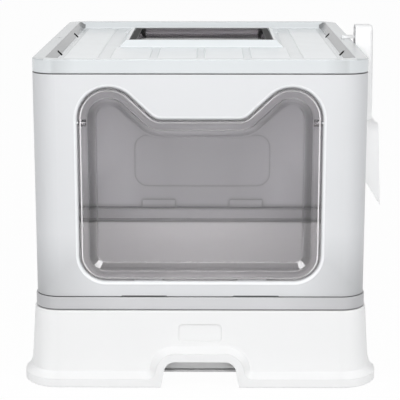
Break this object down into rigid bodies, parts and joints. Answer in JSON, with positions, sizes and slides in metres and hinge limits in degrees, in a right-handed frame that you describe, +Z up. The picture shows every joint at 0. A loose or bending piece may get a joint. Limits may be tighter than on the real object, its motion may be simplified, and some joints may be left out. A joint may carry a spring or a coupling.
{
  "type": "covered litter box",
  "caption": "Covered cat litter box with an ear-cornered swing door, a top hatch in a lift-off lid, a pull-out drawer in a flared base, and a scoop hung on the lid's rim.",
  "frame": {"origin": "middle of the underside, on the floor", "axes": "+X to the right as seen from the front, +Y from the door to the rear wall, +Z up"},
  "size_m": [0.438, 0.507, 0.3985],
  "materials": {
    "shell_grey": "satin",
    "lid_grey": "satin",
    "base_white": "satin",
    "smoke_clear": "polished",
    "pin_steel": "satin"
  },
  "bodies": {
    "box": {"base_housing": "base_white", "middle_ring": "shell_grey", "front_panel": "shell_grey", "back_panel": "shell_grey", "left_panel": "shell_grey", "right_panel": "shell_grey", "left_flap_pin": "pin_steel", "right_flap_pin": "pin_steel"},
    "drawer": {"drawer_front": "base_white", "drawer_tray": "base_white"},
    "flap": {"front_flap": "smoke_clear"},
    "lid": {"lid": "lid_grey", "left_hatch_pin": "pin_steel", "right_hatch_pin": "pin_steel"},
    "hatch": {"top_hatch": "smoke_clear"},
    "scoop": {"scoop": "base_white"}
  },
  "joints": [
    {"name": "drawer_slide", "type": "slide", "parent": "box", "child": "drawer", "axis": [0, -1, 0], "range_m": [0, 0.35]},
    {"name": "flap_swing", "type": "hinge", "parent": "box", "child": "flap", "pos_m": [0, -0.235, 0.309], "axis": [1, 0, 0], "range_deg": [-80, 80]},
    {"name": "lid_lift", "type": "slide", "parent": "box", "child": "lid", "axis": [0, 0, 1], "range_m": [0, 0.06]},
    {"name": "hatch_swing", "type": "hinge", "parent": "lid", "child": "hatch", "pos_m": [0, 0.134, 0.3774], "axis": [-1, 0, 0], "range_deg": [0, 115]},
    {"name": "scoop_lift", "type": "slide", "parent": "lid", "child": "scoop", "axis": [0, 0, 1], "range_m": [0, 0.04]}
  ]
}
